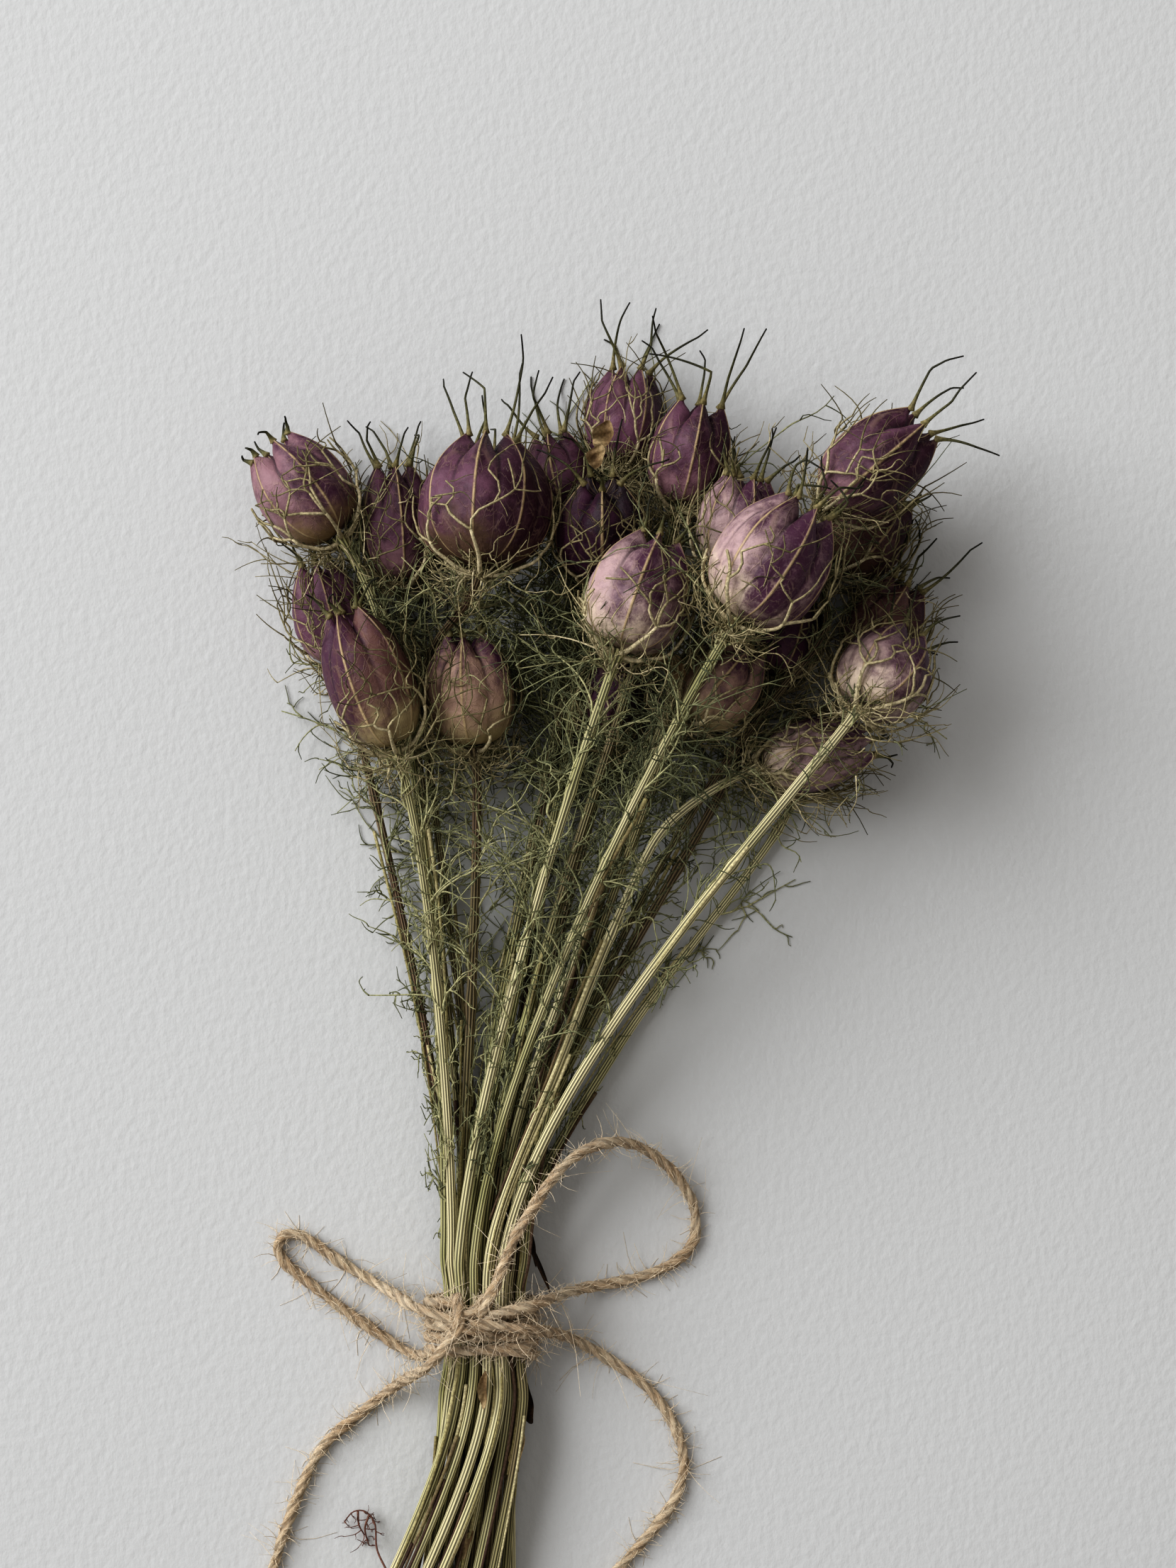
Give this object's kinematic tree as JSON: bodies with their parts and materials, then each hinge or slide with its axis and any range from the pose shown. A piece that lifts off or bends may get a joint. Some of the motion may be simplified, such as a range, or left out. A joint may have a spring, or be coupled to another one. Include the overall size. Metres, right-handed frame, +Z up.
{
  "type": "dried seed pod bunch",
  "caption": "Bunch of dried nigella seed pods on thin ribbed stems, tied with a jute bow and lying on its side, for display.",
  "frame": {"origin": "on the table, under the middle of the bunch's own box, measured without the twine's loops and free ends", "axes": "+Y from the cut stem ends to the pods, +X to the right seen from above, +Z up from the table that the bunch lies on"},
  "size_m": [0.156, 0.3084, 0.0584],
  "materials": {
    "dark": "dry matte, dark purple pod skin",
    "rose": "dry matte, rose-purple pod skin",
    "pale": "dry matte, pink and cream pod skin",
    "tan": "dry matte, tan pod skin",
    "stem": "dry matte, olive and straw",
    "twine": "fuzzy twisted jute"
  },
  "bodies": {
    "root": {"pod_01": "rose", "pod_02": "dark", "pod_03": "dark", "pod_04": "dark", "pod_05": "dark", "pod_06": "dark", "pod_07": "dark", "pod_08": "pale", "pod_09": "pale", "pod_10": "dark", "pod_11": "rose", "pod_12": "pale", "pod_13": "rose", "pod_14": "rose", "pod_15": "tan", "pod_16": "dark", "pod_17": "tan", "pod_18": "pale", "pod_19": "rose", "pod_20": "pale", "pod_21": "dark", "stem_01": "stem", "stem_02": "stem", "stem_03": "stem", "stem_04": "stem", "stem_05": "stem", "stem_06": "stem", "stem_07": "stem", "stem_08": "stem", "stem_09": "stem", "stem_10": "stem", "stem_11": "stem", "stem_12": "stem", "stem_13": "stem", "stem_14": "stem", "stem_15": "stem", "stem_16": "stem", "stem_17": "stem", "stem_18": "stem", "stem_19": "stem", "stem_20": "stem", "stem_21": "stem", "twine_wrap": "twine", "twine_loop_left": "twine", "twine_loop_right": "twine", "twine_tail_left": "twine", "twine_tail_right": "twine"}
  },
  "joints": []
}
